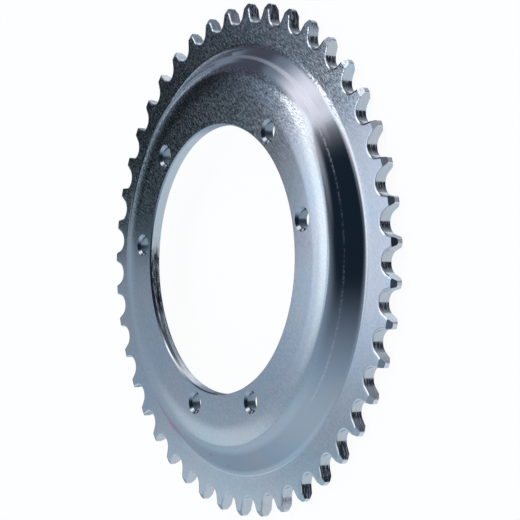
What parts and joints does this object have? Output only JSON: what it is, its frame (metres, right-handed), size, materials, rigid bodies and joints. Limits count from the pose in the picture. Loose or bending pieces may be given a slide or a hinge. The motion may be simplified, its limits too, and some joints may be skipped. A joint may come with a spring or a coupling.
{
  "type": "chain sprocket",
  "caption": "Dished plate sprocket for a roller chain: toothed outer ring, conical web and flat bored flange with paired screw holes.",
  "frame": {"origin": "on the sprocket's axis, in the plane of the toothed ring's rear face, on which the part lies", "axes": "+Z along the axis from the toothed ring towards the raised flange; +X through the middle of a tooth and midway between two screw holes"},
  "size_m": [0.1798, 0.18, 0.0125],
  "materials": {
    "zinc_plated_steel": "bright blue-white zinc plating over rolled steel plate"
  },
  "bodies": {
    "root": {"sprocket": "zinc_plated_steel"}
  },
  "joints": []
}
